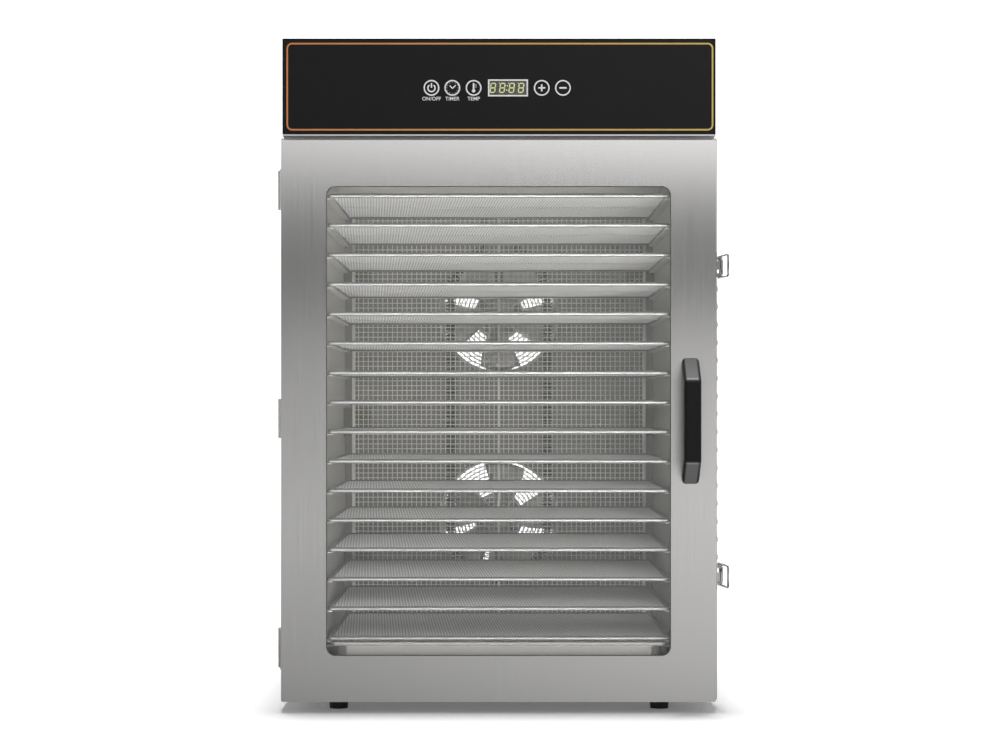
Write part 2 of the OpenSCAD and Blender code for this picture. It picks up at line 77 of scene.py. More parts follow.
class Material:
    """A node material with short calls for the nodes used here."""

    def __init__(self, name):
        self.data = bpy.data.materials.new(name)
        self.data.use_nodes = True
        self.tree = self.data.node_tree
        self.shader = self.tree.nodes["Principled BSDF"]

    def node(self, kind, **inputs):
        made = self.tree.nodes.new(kind)
        for socket, value in inputs.items():
            made.inputs[socket].default_value = value
        return made

    def link(self, start, end):
        self.tree.links.new(start, end)

    def coordinates(self, scale):
        """Object coordinates, stretched by scale."""
        place = self.node("ShaderNodeTexCoord")
        mapping = self.node("ShaderNodeMapping")
        mapping.inputs["Scale"].default_value = scale
        self.link(place.outputs["Object"], mapping.inputs["Vector"])
        return mapping.outputs["Vector"]

    def noise(self, scale, detail=3.0, rough=0.5):
        made = self.node("ShaderNodeTexNoise", Scale=1.0, Detail=detail, Roughness=rough)
        self.link(self.coordinates(scale), made.inputs["Vector"])
        return made.outputs["Fac"]

    def ramp(self, value, stops):
        made = self.node("ShaderNodeValToRGB")
        made.color_ramp.elements[0].position = stops[0][0]
        made.color_ramp.elements[0].color = stops[0][1]
        made.color_ramp.elements[1].position = stops[-1][0]
        made.color_ramp.elements[1].color = stops[-1][1]
        for position, colour in stops[1:-1]:
            made.color_ramp.elements.new(position).color = colour
        self.link(value, made.inputs["Fac"])
        return made.outputs["Color"]

    def spread(self, value, low, high):
        """value, mapped from 0..1 to low..high."""
        made = self.node("ShaderNodeMapRange")
        made.inputs["To Min"].default_value = low
        made.inputs["To Max"].default_value = high
        self.link(value, made.inputs["Value"])
        return made.outputs["Result"]

    def bump(self, value, strength, distance=0.001):
        made = self.node("ShaderNodeBump", Strength=strength, Distance=distance)
        self.link(value, made.inputs["Height"])
        self.link(made.outputs["Normal"], self.shader.inputs["Normal"])

    def mottle(self, colour, amount, scale):
        """The base colour, a little lighter and darker in soft patches."""
        low = tuple(c * (1 - amount) for c in colour[:3]) + (1.0,)
        high = tuple(min(1.0, c * (1 + amount)) for c in colour[:3]) + (1.0,)
        self.link(self.ramp(self.noise(scale), [(0.3, low), (0.7, high)]), self.shader.inputs["Base Color"])


def brushed_steel(name, colour, grain, rough=(0.24, 0.36), strength=0.06, stretch=0.0, metallic=1.0):
    """Brushed stainless steel; grain gives the noise scale along each axis, small along the brushing."""
    m = Material(name)
    m.shader.inputs["Metallic"].default_value = metallic
    streaks = m.noise(grain, detail=4.0, rough=0.6)
    low = tuple(c * 0.93 for c in colour[:3]) + (1.0,)
    high = tuple(min(1.0, c * 1.05) for c in colour[:3]) + (1.0,)
    m.link(m.ramp(streaks, [(0.25, low), (0.75, high)]), m.shader.inputs["Base Color"])
    m.link(m.spread(streaks, rough[0], rough[1]), m.shader.inputs["Roughness"])
    m.bump(streaks, strength, 0.0002)
    m.shader.inputs["Anisotropic"].default_value = stretch
    m.shader.inputs["Anisotropic Rotation"].default_value = 0.25
    along = m.node("ShaderNodeCombineXYZ", X=0.02, Y=0.01, Z=1.0)
    m.link(along.outputs["Vector"], m.shader.inputs["Tangent"])
    return m.data


def simple(name, colour, rough, metallic=0.0, grain=400.0, variation=0.06, bump=0.03, coat=0.0,
           specular=0.5):
    """A moulded, painted or cast surface with fine grain and slight colour and gloss variation."""
    m = Material(name)
    m.shader.inputs["Metallic"].default_value = metallic
    m.shader.inputs["Specular IOR Level"].default_value = specular
    m.shader.inputs["Coat Weight"].default_value = coat
    m.shader.inputs["Coat Roughness"].default_value = 0.08
    fine = m.noise((grain, grain, grain), detail=3.0)
    m.mottle(colour, variation, (grain * 0.1, grain * 0.1, grain * 0.1))
    m.link(m.spread(fine, max(0.02, rough - 0.05), rough + 0.05), m.shader.inputs["Roughness"])
    m.bump(fine, bump, 0.0002)
    return m.data


GLINT_BAND_SCALE = 209.0  # one painted highlight band every 3 mm across the tray
GLINT_BAND_LEAN = 0.05  # sideways run of a band over the tray's depth


def mesh_steel(name, colour):
    """Bright expanded metal with painted highlights and shade: fine slanted streaks in the base colour
    where rows of cells catch the light, with matching roughness and bump.
    """
    m = Material(name)
    m.shader.inputs["Metallic"].default_value = 0.45
    glint_bands = m.node("ShaderNodeTexWave", Scale=GLINT_BAND_SCALE, Distortion=0.6, Detail=1.0)
    glint_bands.bands_direction = "DIAGONAL"
    m.link(m.coordinates((1.0, GLINT_BAND_LEAN, 0.0)), glint_bands.inputs["Vector"])
    streaks = glint_bands.outputs["Fac"]
    low = tuple(c * 0.6 for c in colour[:3]) + (1.0,)
    m.link(m.ramp(streaks, [(0.2, low), (0.75, colour)]), m.shader.inputs["Base Color"])
    m.link(m.spread(streaks, 0.3, 0.5), m.shader.inputs["Roughness"])
    m.bump(streaks, 0.1, 0.0003)
    return m.data


def pan_steel(name, pan, lip_shade, lip_z):
    """Steel with painted shade above lip_z: a darker base colour on the drip tray's top edge than on the
    pan.
    """
    m = Material(name)
    m.shader.inputs["Metallic"].default_value = 0.6
    place = m.node("ShaderNodeTexCoord")
    split = m.node("ShaderNodeSeparateXYZ")
    m.link(place.outputs["Object"], split.inputs["Vector"])
    height = m.node("ShaderNodeMapRange")
    height.inputs["From Min"].default_value = lip_z - 0.5 * MM
    height.inputs["From Max"].default_value = lip_z
    m.link(split.outputs["Z"], height.inputs["Value"])
    m.link(m.ramp(height.outputs["Result"], [(0.0, pan), (1.0, lip_shade)]), m.shader.inputs["Base Color"])
    streaks = m.noise(DEPTHWISE, detail=4.0, rough=0.6)
    m.link(m.spread(streaks, 0.3, 0.45), m.shader.inputs["Roughness"])
    m.bump(streaks, 0.06, 0.0002)
    return m.data


def glass(name):
    m = Material(name)
    smears = m.noise((9.0, 9.0, 5.0), detail=4.0)
    m.shader.inputs["Base Color"].default_value = (0.9, 0.93, 0.93, 1.0)
    m.shader.inputs["Alpha"].default_value = 0.06
    m.link(m.spread(smears, 0.02, 0.07), m.shader.inputs["Roughness"])
    return m.data


def ink(name, colour, glow=0.0):
    """Printed line or lit segment; glow sets how much it shines, which on a print is painted light."""
    m = Material(name)
    m.mottle(colour, 0.05, (300.0, 300.0, 300.0))
    m.shader.inputs["Roughness"].default_value = 0.4
    m.shader.inputs["Emission Color"].default_value = colour
    m.shader.inputs["Emission Strength"].default_value = glow
    return m.data


def outline_ink(name, left, right, half_width):
    """Metallic print that runs from one colour at the left to another at the right."""
    m = Material(name)
    place = m.node("ShaderNodeTexCoord")
    split = m.node("ShaderNodeSeparateXYZ")
    m.link(place.outputs["Object"], split.inputs["Vector"])
    across = m.node("ShaderNodeMapRange")
    across.inputs["From Min"].default_value = -half_width
    across.inputs["From Max"].default_value = half_width
    m.link(split.outputs["X"], across.inputs["Value"])
    m.link(m.ramp(across.outputs["Result"], [(0.0, left), (1.0, right)]), m.shader.inputs["Base Color"])
    m.shader.inputs["Roughness"].default_value = 0.45
    return m.data


VERTICAL = (1500.0, 1500.0, 9.0)
DEPTHWISE = (1500.0, 9.0, 1500.0)
STEEL = srgb(213, 212, 211)

M_CABINET = brushed_steel("cabinet_steel", STEEL, VERTICAL, stretch=0.8)
M_DOOR = brushed_steel("door_steel", STEEL, VERTICAL, rough=(0.19, 0.27), stretch=0.9)
M_LINER = brushed_steel("liner_steel", srgb(196, 193, 186), DEPTHWISE, rough=(0.38, 0.5), metallic=0.3)
# The baffle is the liner's steel with a darker base colour: painted shade at the back of the chamber.
M_BAFFLE_SHADED = brushed_steel("baffle_steel_shaded", srgb(146, 143, 136), VERTICAL, rough=(0.38, 0.5), metallic=0.3)
M_INNER = brushed_steel("door_inner_steel", srgb(205, 202, 196), VERTICAL, rough=(0.3, 0.45))
LIP_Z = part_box("drip_tray")[1][2] - 3.6 * MM
# The drip tray's top edge, above LIP_Z, gets painted shade: a darker base colour than the pan.
M_PAN = pan_steel("pan_steel", srgb(206, 204, 200), srgb(114, 112, 109), LIP_Z)
M_HINGE = brushed_steel("hinge_steel", srgb(215, 213, 210), VERTICAL, rough=(0.2, 0.35))
M_CHROME = simple("latch_chrome", srgb(186, 186, 184), 0.16, metallic=1.0, grain=900.0, variation=0.03)
M_WIRE = simple("guard_wire", srgb(232, 229, 222), 0.3, metallic=0.5, grain=900.0, variation=0.05)
M_MESH = mesh_steel("tray_mesh", srgb(226, 225, 222))
M_RIM = simple("tray_rim", srgb(142, 141, 139), 0.42, metallic=0.6, grain=600.0, variation=0.04)
M_FAN = simple("fan_metal", srgb(205, 203, 199), 0.32, metallic=1.0, grain=500.0, variation=0.06)
M_MOTOR = simple("motor_paint", srgb(150, 148, 144), 0.4, metallic=0.8, grain=700.0)
M_HEATER = simple("heater_fins", srgb(34, 35, 28), 0.6, grain=600.0, variation=0.25)
M_TUBE = simple("heater_tube", srgb(120, 118, 108), 0.45, metallic=0.5, grain=600.0, variation=0.15)
M_BRACKET = simple("guard_bracket", srgb(112, 110, 92), 0.5, metallic=0.3, grain=500.0, variation=0.1)
M_BLACK = simple("panel_black", srgb(13, 13, 14), 0.3, grain=900.0, variation=0.1, specular=0.2)
M_KEY = simple("key_black", srgb(13, 13, 14), 0.3, grain=900.0, variation=0.1, specular=0.2)
M_DISPLAY = simple("display_glass", srgb(44, 44, 26), 0.2, grain=300.0, variation=0.2, coat=0.5)
M_HANDLE = simple("handle_black", srgb(14, 14, 15), 0.5, grain=1200.0, variation=0.1, bump=0.08,
                  specular=0.2)
M_RUBBER = simple("foot_rubber", srgb(32, 32, 32), 0.7, grain=900.0, variation=0.2, bump=0.15)
M_SEAL = simple("seal_rubber", srgb(42, 42, 42), 0.65, grain=900.0, variation=0.15, bump=0.1)
M_BEAD = simple("bead_rubber", srgb(92, 92, 91), 0.6, grain=900.0, variation=0.15, bump=0.1)
M_INLET = simple("inlet_plastic", srgb(30, 30, 31), 0.45, grain=800.0, variation=0.12)
M_GLASS = glass("window_glass")
# The white print glows a little, though it is no lamp: painted light.
M_WHITE = ink("print_white", srgb(226, 226, 226), glow=0.15)
M_DIGIT = ink("digit_green", srgb(200, 205, 150), glow=0.35)
M_OUTLINE = outline_ink("outline_gold", srgb(214, 132, 72), srgb(222, 190, 100), 0.215)


def paint(material, *nodes):
    """Gives CAD nodes a material."""
    for name in nodes:
        obj = frame["nodes"][name]
        obj.data.materials.clear()
        obj.data.materials.append(material)


def soften(node, width, segments=2):
    """Rounds a CAD node's sharp edges with modifiers, which leave its own mesh as it is."""
    obj = frame["nodes"][node]
    obj.modifiers.new("weld", "WELD").merge_threshold = 0.00001
    flat = obj.modifiers.new("flat", "DECIMATE")
    flat.decimate_type = "DISSOLVE"
    flat.angle_limit = math.radians(0.5)
    bevel = obj.modifiers.new("bevel", "BEVEL")
    bevel.width = width
    bevel.segments = segments
    bevel.limit_method = "ANGLE"
    bevel.angle_limit = math.radians(40)
    bevel.harden_normals = True


# ---- mesh pieces ----

def piece(name, bm, material, body, replaced=()):
    """Turns a bmesh into an object that rides on a body."""
    data = bpy.data.meshes.new(name)
    bmesh.ops.recalc_face_normals(bm, faces=bm.faces)
    bm.to_mesh(data)
    bm.free()
    return place_piece(name, data, material, body, replaced)


def place_piece(name, data, material, body, replaced=()):
    if material is not None:
        data.materials.append(material)
    obj = bpy.data.objects.new(name, data)
    bpy.context.collection.objects.link(obj)
    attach(obj, body)
    if replaced:
        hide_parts(*replaced)
    return obj


def add_prism(bm, lower, upper):
    """A solid between two rings of the same number of points."""
    a = [bm.verts.new(p) for p in lower]
    b = [bm.verts.new(p) for p in upper]
    count = len(a)
    bm.faces.new(a)
    bm.faces.new(list(reversed(b)))
    for i in range(count):
        j = (i + 1) % count
        bm.faces.new([a[i], b[i], b[j], a[j]])


def add_box(bm, lo, hi):
    def ring(z):
        return [(lo[0], lo[1], z), (hi[0], lo[1], z), (hi[0], hi[1], z), (lo[0], hi[1], z)]
    add_prism(bm, ring(lo[2]), ring(hi[2]))


def across(direction):
    """Two unit vectors square to a direction."""
    helper = Vector((0, 0, 1)) if abs(direction.z) < 0.9 else Vector((1, 0, 0))
    side = direction.cross(helper).normalized()
    return side, direction.cross(side).normalized()


def add_rod(bm, start, end, radius, sides=8):
    start, end = Vector(start), Vector(end)
    side, up = across((end - start).normalized())
    turns = [2 * math.pi * i / sides for i in range(sides)]
    ring = [side * math.cos(t) * radius + up * math.sin(t) * radius for t in turns]
    add_prism(bm, [start + r for r in ring], [end + r for r in ring])


def add_sweep(bm, path, profile, closed):
    """Sweeps a profile of (outward, up) offsets along a path of (point, outward, up) frames."""
    rings = []
    for point, outward, up in path:
        rings.append([bm.verts.new(point + outward * u + up * v) for u, v in profile])
    count = len(profile)
    spans = len(rings) if closed else len(rings) - 1
    for i in range(spans):
        a, b = rings[i], rings[(i + 1) % len(rings)]
        for k in range(count):
            n = (k + 1) % count
            bm.faces.new([a[k], b[k], b[n], a[n]])
    if not closed:
        bm.faces.new(rings[0])
        bm.faces.new(list(reversed(rings[-1])))


def rounded_loop(lo, hi, radius, steps=6):
    """Points and outward directions round a rounded rectangle in two coordinates."""
    corners = [((hi[0] - radius, hi[1] - radius), 0), ((lo[0] + radius, hi[1] - radius), 90),
               ((lo[0] + radius, lo[1] + radius), 180), ((hi[0] - radius, lo[1] + radius), 270)]
    loop = []
    for (cx, cy), start in corners:
        for i in range(steps + 1):
            turn = math.radians(start + 90 * i / steps)
            out = (math.cos(turn), math.sin(turn))
            loop.append(((cx + out[0] * radius, cy + out[1] * radius), out))
    return loop


def oval(half_w, half_h, power=2.6, count=14):
    """A rounded profile between an ellipse and a rectangle."""
    points = []
    for i in range(count):
        t = 2 * math.pi * i / count
        c, s = math.cos(t), math.sin(t)
        points.append((math.copysign(abs(c) ** (2 / power), c) * half_w,
                       math.copysign(abs(s) ** (2 / power), s) * half_h))
    return points


def circle(radius, count):
    turns = [2 * math.pi * i / count for i in range(count)]
    return [(math.cos(t) * radius, math.sin(t) * radius) for t in turns]


def smooth(bm):
    for face in bm.faces:
        face.smooth = True


# ---- trays ----

def clip_line(slope, offset, lo, hi):
    """Ends of the line y = slope * x + offset inside a rectangle, or None."""
    points = []
    for x in (lo[0], hi[0]):
        y = slope * x + offset
        if lo[1] <= y <= hi[1]:
            points.append((x, y))
    for y in (lo[1], hi[1]):
        x = (y - offset) / slope
        if lo[0] < x < hi[0]:
            points.append((x, y))
    return points[:2] if len(points) >= 2 else None


def add_strand(bm, start, end, z, width, height):
    along = Vector((end[0] - start[0], end[1] - start[1], 0)).normalized()
    side = Vector((-along.y, along.x, 0)) * (width / 2)
    ends = [Vector((start[0], start[1], z)), Vector((end[0], end[1], z))]
    rise = Vector((0, 0, height / 2))
    lower = [ends[0] - side - rise, ends[1] - side - rise, ends[1] + side - rise, ends[0] + side - rise]
    add_prism(bm, lower, [p + 2 * rise for p in lower])


def add_expanded_metal(bm, lo, hi, z):
    """Diamond mesh from two families of slanted strands."""
    slope = 0.5
    spacing = 4.6 * MM
    width = 1.1 * MM
    height = 0.9 * MM
    reach = slope * max(abs(lo[0]), abs(hi[0]))
    for sign, level in ((1, 0.2 * MM), (-1, -0.2 * MM)):
        offset = lo[1] - reach + spacing / 2
        while offset < hi[1] + reach:
            ends = clip_line(sign * slope, offset, lo, hi)
            if ends and math.dist(*ends) > spacing:
                add_strand(bm, ends[0], ends[1], z + level, width, height)
            offset += spacing


def rim_path(lo, hi, inset, radius, z):
    path = []
    for (x, y), out in rounded_loop((lo[0] + inset, lo[1] + inset), (hi[0] - inset, hi[1] - inset), radius):
        path.append((Vector((x, y, z)), Vector((out[0], out[1], 0)), Vector((0, 0, 1))))
    return path


def make_trays():
    """One tray shape, shared by every mesh tray."""
    lo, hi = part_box(TRAYS[0])
    middle = (lo[2] + hi[2]) / 2
    half_h = (hi[2] - lo[2]) / 2
    rim = 2.5 * MM
    frame_mesh = bmesh.new()
    add_sweep(frame_mesh, rim_path(lo, hi, rim, 1.5 * MM, 0.0), oval(rim, half_h), True)
    smooth(frame_mesh)
    bar_y = (lo[1] + hi[1]) / 2
    bar_half = 1.6 * MM
    net = bmesh.new()
    add_box(net, (lo[0] + rim, bar_y - bar_half, -0.75 * half_h),
            (hi[0] - rim, bar_y + bar_half, -0.4 * MM))
    add_expanded_metal(net, (lo[0] + rim, lo[1] + rim), (hi[0] - rim, hi[1] - rim), 0.4 * MM)
    shapes = []
    for label, bm, material in (("rim", frame_mesh, M_RIM), ("net", net, M_MESH)):
        data = bpy.data.meshes.new("tray_" + label)
        bmesh.ops.recalc_face_normals(bm, faces=bm.faces)
        bm.to_mesh(data)
        bm.free()
        data.materials.append(material)
        shapes.append((label, data))
    for node in TRAYS:
        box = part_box(node)
        for label, data in shapes:
            obj = bpy.data.objects.new(f"{node}_{label}", data)
            bpy.context.collection.objects.link(obj)
            obj.location.z = middle + box[0][2] - lo[2]
            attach(obj, node + "_body")
            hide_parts(node)


# ---- heater, guard and fans ----

CLIP_X = 145 * MM
CLIP_Z = [126 * MM, 289 * MM, 452 * MM]
CLIP_HALF_H = 16 * MM


def make_guard():
    """The heat guard's close wire grid, its side rods, middle rod and clips."""
    lo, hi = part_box("heat_guard")
    edge = 11.5 * MM
    pitch = 5.5 * MM
    wire = 0.55 * MM
    front = lo[1] + 2.7 * MM
    x0, x1 = lo[0] + edge, hi[0] - edge
    z0, z1 = lo[2] + 1 * MM, hi[2] - 1 * MM
    bm = bmesh.new()
    columns = round((x1 - x0) / pitch)
    for i in range(columns + 1):
        x = x0 + (x1 - x0) * i / columns
        add_rod(bm, (x, front + wire, z0), (x, front + wire, z1), wire, 6)
    rows = round((z1 - z0) / pitch)
    for i in range(rows + 1):
        z = z0 + (z1 - z0) * i / rows
        add_rod(bm, (x0, front + 3 * wire, z), (x1, front + 3 * wire, z), wire, 6)
    for x in (x0, x1):
        add_rod(bm, (x, front + wire, lo[2]), (x, front + wire, hi[2]), 2 * MM, 12)
    add_rod(bm, (0, lo[1] + 1.5 * MM, z0), (0, lo[1] + 1.5 * MM, z1), 1.5 * MM, 12)
    smooth(bm)
    piece("heat_guard_wires", bm, M_WIRE, "cabinet", ["heat_guard"])
    brackets = bmesh.new()
    for x in ((lo[0], -CLIP_X), (CLIP_X, hi[0])):
        for z in CLIP_Z:
            add_box(brackets, (x[0], front + 4 * wire, z - CLIP_HALF_H),
                    (x[1], front + 6 * wire, z + CLIP_HALF_H))
    piece("heat_guard_brackets", brackets, M_BRACKET, "cabinet", ["heat_guard"])


HEATER_R = 6.4 * MM
HEATER_END_X = 17.6 * MM
HEATER_TOP = 431.5 * MM
HEATER_PINS = [(x * MM, z * MM) for x in (-54.5, 54.5) for z in (185.5, 411.5)]


def heater_path(lo, hi, step):
    """Points along the heater's long loop, from one top end to the other, with the direction at each."""
    half = (hi[0] - lo[0]) / 2 - HEATER_R
    bottom = lo[2] + HEATER_R + half
    y = lo[1] + HEATER_R
    straight = HEATER_TOP - bottom
    sweep = math.acos(HEATER_END_X / half)
    lengths = [half * sweep, straight, half * math.pi, straight, half * sweep]
    points = []
    for i in range(round(sum(lengths) / step) + 1):
        s = i * step
        part = 0
        while part < 4 and s > lengths[part]:
            s -= lengths[part]
            part += 1
        if part in (1, 3):
            side, rise = (1, -s) if part == 1 else (-1, s - straight)
            points.append((Vector((side * half, y, HEATER_TOP + rise)), Vector((0, 0, -side))))
            continue
        start, centre = {0: (sweep, HEATER_TOP), 2: (0, bottom), 4: (math.pi, HEATER_TOP)}[part]
        t = start - s / half
        points.append((Vector((half * math.cos(t), y, centre + half * math.sin(t))),
                       Vector((math.sin(t), 0, -math.cos(t)))))
    return points


def make_heater():
    """A tube with a row of fins along it and two plain ends."""
    lo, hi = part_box("heater_loop")
    fins = bmesh.new()
    tube = bmesh.new()
    tube_r = 3.4 * MM
    fin_r = 6.3 * MM
    fin_t = 1.5 * MM
    path = []
    for point, along in heater_path(lo, hi, 3.8 * MM):
        outward = along.cross(Vector((0, 1, 0))).normalized()
        path.append((point, outward, Vector((0, 1, 0))))
        add_rod(fins, point - along * fin_t / 2, point + along * fin_t / 2, fin_r, 12)
    add_sweep(tube, path, circle(tube_r, 10), False)
    for point, along in (path[0][:2], path[-1][:2]):
        add_rod(tube, point, (point.x, point.y, hi[2]), 2.9 * MM, 12)
    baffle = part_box("fan_baffle")[0][1]
    for x, z in HEATER_PINS:
        add_rod(tube, (x, lo[1] + fin_r, z), (x, baffle, z), 2.4 * MM, 12)
    smooth(tube)
    piece("heater_fins", fins, M_HEATER, "cabinet", ["heater_loop"])
    piece("heater_tube", tube, M_TUBE, "cabinet", ["heater_loop"])


def make_fan(which, first_blade):
    """Fan wheel with twisted, swept blades on a domed hub."""
    node = "fan_blades_" + which
    lo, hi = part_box(node)
    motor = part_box("fan_motor_" + which)
    z = (motor[0][2] + motor[1][2]) / 2
    y = (lo[1] + hi[1]) / 2
    half_d = (hi[1] - lo[1]) / 2
    bm = bmesh.new()
    profile = [(half_d * 0.98, 17), (-half_d * 0.55, 17), (-half_d * 0.7, 16), (-half_d * 0.74, 12.4),
               (-half_d * 0.94, 11.8), (-half_d * 0.96, 7), (-half_d * 0.76, 6.4), (-half_d * 0.76, 2.5)]
    rings = []
    count = 40
    for depth, radius in profile:
        ring = circle(radius, count)
        rings.append([bm.verts.new((px * MM, y + depth, z + pz * MM)) for px, pz in ring])
    for a, b in zip(rings, rings[1:]):
        for i in range(count):
            bm.faces.new([a[i], b[i], b[(i + 1) % count], a[(i + 1) % count]])
    bm.faces.new(rings[-1])
    blades = 5
    spans, chords = 10, 8
    root, tip = 15.5 * MM, 64.6 * MM
    half_t = 0.5 * MM
    for blade in range(blades):
        base = 2 * math.pi * blade / blades + math.radians(first_blade)
        sheets = []
        for side in (-1, 1):
            rows = []
            for i in range(spans + 1):
                r = root + (tip - root) * i / spans
                width = math.radians(52 - 10 * i / spans)
                rise = half_d * (0.62 - 0.12 * i / spans)
                row = []
                for k in range(chords + 1):
                    f = k / chords - 0.5
                    a = base + f * width + 0.12 * i / spans
                    depth = f * 2 * rise + 0.16 * half_d * (1 - 4 * f * f)
                    row.append(bm.verts.new((math.cos(a) * r, y + depth + side * half_t,
                                             z + math.sin(a) * r)))
                rows.append(row)
            sheets.append(rows)
        for rows in sheets:
            for i in range(spans):
                for k in range(chords):
                    bm.faces.new([rows[i][k], rows[i][k + 1], rows[i + 1][k + 1], rows[i + 1][k]])
        front, back = sheets
        for i in range(spans):
            for k in (0, chords):
                bm.faces.new([front[i][k], front[i + 1][k], back[i + 1][k], back[i][k]])
        for k in range(chords):
            for i in (0, spans):
                bm.faces.new([front[i][k], front[i][k + 1], back[i][k + 1], back[i][k]])
    smooth(bm)
    piece("fan_wheel_" + which, bm, M_FAN, "fan_" + which, [node])


# ---- latches ----

def make_bail(which):
    """Round wire bail in place of the CAD's flat one."""
    node = "latch_bail_" + which
    lo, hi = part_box(node)
    wire = 1.15 * MM
    z = (lo[2] + hi[2]) / 2
    half = (hi[2] - lo[2]) / 2 - wire
    pivot = Vector((lo[0] + 1.2 * MM, hi[1] - 1.2 * MM, 0))
    end = Vector((hi[0] - 1.2 * MM, lo[1] + 1.2 * MM, 0))
    run = (end - pivot).normalized()
    corner = 3 * MM
    stub = 6.3 * MM
    points = [pivot + Vector((0, 0, -stub)), pivot + Vector((0, 0, -half))]
    for sign in (-1, 1):
        turns = range(7) if sign < 0 else range(6, -1, -1)
        for i in turns:
            t = math.pi / 2 * i / 6
            points.append(end - run * (corner * (1 - math.sin(t))) +
                          Vector((0, 0, sign * (half - corner * (1 - math.cos(t))))))
    points += [pivot + Vector((0, 0, half)), pivot + Vector((0, 0, stub))]
    bm = bmesh.new()
    path = []
    normal = run.cross(Vector((0, 0, 1))).normalized()
    for i, point in enumerate(points):
        ahead = points[min(i + 1, len(points) - 1)] - points[max(i - 1, 0)]
        path.append((point + Vector((0, 0, z)), ahead.normalized().cross(normal).normalized(), normal))
    add_sweep(bm, path, circle(wire, 12), False)
    smooth(bm)
    piece("bail_wire_" + which, bm, M_CHROME, "bail_" + which, [node])


# ---- prints on the control panel ----

PRINT_T = 0.12 * MM


def add_band(bm, inner, outer, y):
    """A thin flat band between two outlines in the X-Z plane, standing PRINT_T proud of y."""
    count = len(inner)
    rows = []
    for depth in (y, y - PRINT_T):
        rows.append([bm.verts.new((px, depth, pz)) for px, pz in inner])
        rows.append([bm.verts.new((px, depth, pz)) for px, pz in outer])
    back_in, back_out, front_in, front_out = rows
    for i in range(count):
        j = (i + 1) % count
        bm.faces.new([front_in[i], front_out[i], front_out[j], front_in[j]])
        bm.faces.new([back_in[i], back_in[j], back_out[j], back_out[i]])
        bm.faces.new([front_out[i], back_out[i], back_out[j], front_out[j]])
        bm.faces.new([front_in[i], front_in[j], back_in[j], back_in[i]])


def add_patch(bm, outline, y):
    """A thin flat patch with a convex outline in the X-Z plane."""
    add_prism(bm, [(px, y, pz) for px, pz in outline], [(px, y - PRINT_T, pz) for px, pz in outline])


def arc_points(cx, cz, radius, start, end, count):
    turns = [math.radians(start + (end - start) * i / count) for i in range(count + 1)]
    return [(cx + radius * math.cos(t), cz + radius * math.sin(t)) for t in turns]


def add_ring(bm, cx, cz, radius, line, y, count=48):
    inner = arc_points(cx, cz, radius - line, 0, 360, count)[:-1]
    outer = arc_points(cx, cz, radius, 0, 360, count)[:-1]
    add_band(bm, inner, outer, y)


def add_stroke(bm, start, end, line, y):
    """A straight stroke with round ends."""
    angle = math.degrees(math.atan2(end[1] - start[1], end[0] - start[0]))
    outline = arc_points(end[0], end[1], line / 2, angle - 90, angle + 90, 6)
    outline += arc_points(start[0], start[1], line / 2, angle + 90, angle + 270, 6)
    add_patch(bm, outline, y)


def add_arc(bm, cx, cz, radius, line, start, end, y):
    inner = arc_points(cx, cz, radius - line / 2, start, end, 24)
    outer = arc_points(cx, cz, radius + line / 2, start, end, 24)
    for i in range(24):
        add_patch(bm, [inner[i], outer[i], outer[i + 1], inner[i + 1]], y)


def power_symbol(bm, x, z, y):
    add_arc(bm, x, z - 0.2 * MM, 3.6 * MM, 1.3 * MM, 125, 415, y)
    add_stroke(bm, (x, z + 0.6 * MM), (x, z + 4.2 * MM), 1.3 * MM, y)


def clock_symbol(bm, x, z, y):
    add_stroke(bm, (x - 2.2 * MM, z + 1.9 * MM), (x, z - 0.6 * MM), 1.1 * MM, y)
    add_stroke(bm, (x, z - 0.6 * MM), (x + 3.1 * MM, z + 2.3 * MM), 1.1 * MM, y)
    tick_in, tick_out = 5.3 * MM, 5.9 * MM
    for turn in range(0, 360, 30):
        c, s = math.cos(math.radians(turn)), math.sin(math.radians(turn))
        start, end = [(x + reach * c, z + reach * s) for reach in (tick_in, tick_out)]
        add_stroke(bm, start, end, 0.35 * MM, y)


def thermometer_symbol(bm, x, z, y):
    add_stroke(bm, (x, z - 2 * MM), (x, z + 4 * MM), 1.7 * MM, y)
    add_patch(bm, arc_points(x, z - 2.9 * MM, 1.75 * MM, 0, 345, 23), y)
    for step in range(4):
        level = z + (0.6 + step) * MM
        add_stroke(bm, (x + 1.9 * MM, level), (x + 2.8 * MM, level), 0.35 * MM, y)


def plus_symbol(bm, x, z, y):
    add_stroke(bm, (x - 2.9 * MM, z), (x + 2.9 * MM, z), 1.5 * MM, y)
    add_stroke(bm, (x, z - 2.9 * MM), (x, z + 2.9 * MM), 1.5 * MM, y)


def minus_symbol(bm, x, z, y):
    add_stroke(bm, (x - 3 * MM, z), (x + 3 * MM, z), 1.6 * MM, y)


KEYS = {"power": power_symbol, "timer": clock_symbol, "temp": thermometer_symbol,
        "plus": plus_symbol, "minus": minus_symbol}


def make_key_prints():
    """The ring and the symbol on each key, which travel with it."""
    for key, symbol in KEYS.items():
        lo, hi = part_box("key_" + key)
        x, z = (lo[0] + hi[0]) / 2, (lo[2] + hi[2]) / 2
        bm = bmesh.new()
        add_ring(bm, x, z, 7.9 * MM, 1.3 * MM, lo[1])
        symbol(bm, x, z, lo[1])
        piece("key_print_" + key, bm, M_WHITE, f"key_{key}_cap")


